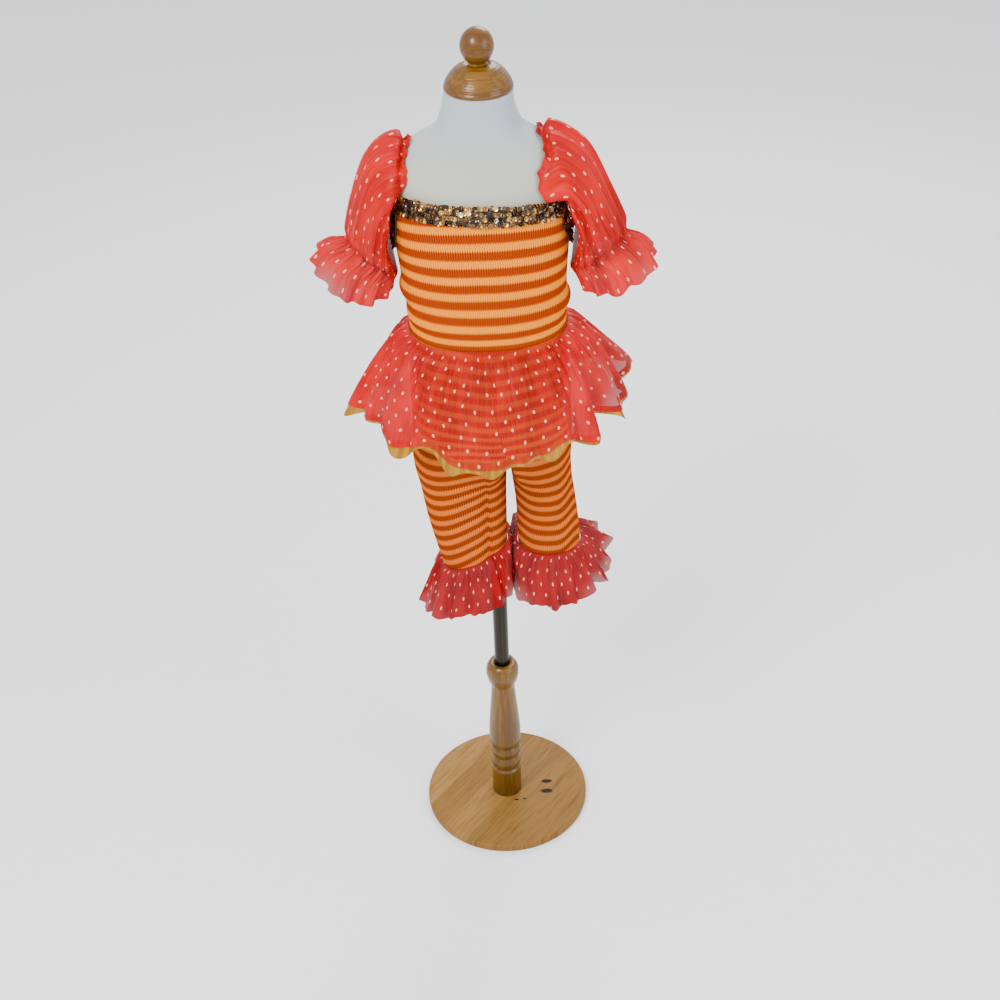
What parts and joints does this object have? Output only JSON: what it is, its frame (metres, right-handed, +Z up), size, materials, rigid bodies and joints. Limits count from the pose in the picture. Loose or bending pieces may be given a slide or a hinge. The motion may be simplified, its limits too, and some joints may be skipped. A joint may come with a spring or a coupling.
{
  "type": "child's dance costume on a limbless dress form and stand",
  "caption": "Striped knit one-piece dance costume with sheer dotted sleeves, skirt and leg ruffles and a sequin neckline, on a limbless child's dress form on a wooden stand.",
  "frame": {"origin": "centre of the base's underside, on the pole's axis", "axes": "+Z up along the pole, -Y towards the costume's front, +X towards the wearer's left"},
  "size_m": [0.4419, 0.3086, 1.2455],
  "materials": {
    "base_wood": "satin varnish",
    "turned_wood": "gloss varnish",
    "pole_steel": "satin",
    "form_jersey": "matte jersey",
    "striped_knit": "ribbed knit",
    "dotted_organza": "sheer with flocked dots",
    "gold_satin": "satin",
    "sequins": "metallised gloss"
  },
  "bodies": {
    "root": {"stand_base": "base_wood", "stand_column": "turned_wood", "stand_pole": "pole_steel", "form_torso": "form_jersey", "form_neck_cap": "turned_wood", "form_finial": "turned_wood", "bodice_front": "striped_knit", "bodice_back": "striped_knit", "sequin_braid": "sequins", "sleeve_right": "dotted_organza", "sleeve_left": "dotted_organza", "legging_right": "striped_knit", "legging_left": "striped_knit", "leg_ruffle_right": "dotted_organza", "leg_ruffle_left": "dotted_organza", "skirt": "dotted_organza", "skirt_hem_band": "gold_satin"}
  },
  "joints": []
}
